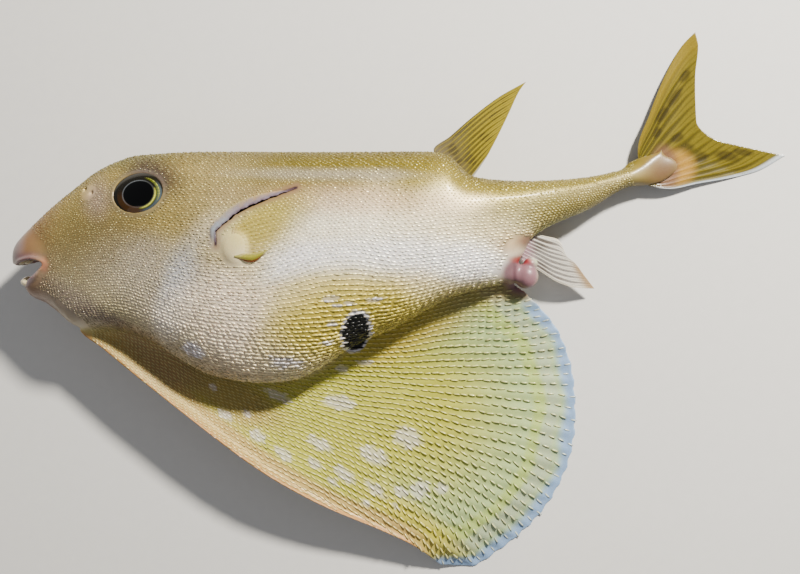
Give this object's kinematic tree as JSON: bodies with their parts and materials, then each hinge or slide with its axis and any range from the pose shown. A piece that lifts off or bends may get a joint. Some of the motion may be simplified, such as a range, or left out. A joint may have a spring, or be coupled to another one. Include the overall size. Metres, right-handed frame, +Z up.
{
  "type": "threetooth puffer",
  "caption": "Life-size threetooth puffer lying on its right side, with its wide belly flap spread out flat and its forked tail fin.",
  "frame": {"origin": "centre of the bounding box at the floor that the fish lies on", "axes": "+Z up from the floor through the right flank to the left flank, -X towards the snout, +Y towards the back"},
  "size_m": [0.4806, 0.3339, 0.072],
  "materials": {
    "skin_back": "wet golden brown skin of fine rough scales",
    "skin_flank": "wet silvery yellow skin in ridged scale rows",
    "skin_flap": "wet yellow-green skin in fanned scale rows",
    "fin_olive": "wet olive-yellow fin membrane on raised rays",
    "fin_pale": "wet pale clear fin membrane on raised rays",
    "flesh_pink": "wet bare pink flesh",
    "eye": "wet clear eye with a black pupil and a gold ring",
    "tooth": "smooth cream tooth plate"
  },
  "bodies": {
    "root": {"head": "skin_back", "trunk": "skin_flank", "tail_stalk": "skin_back", "lower_jaw": "flesh_pink", "eye_left": "eye", "eye_right": "eye", "upper_tooth_left": "tooth", "upper_tooth_right": "tooth", "lower_tooth": "tooth", "vent": "flesh_pink", "belly_flap": "skin_flap", "dorsal_fin": "fin_olive", "anal_fin": "fin_pale", "caudal_fin": "fin_olive", "pectoral_fin_left": "fin_olive", "pectoral_fin_right": "fin_olive"}
  },
  "joints": []
}
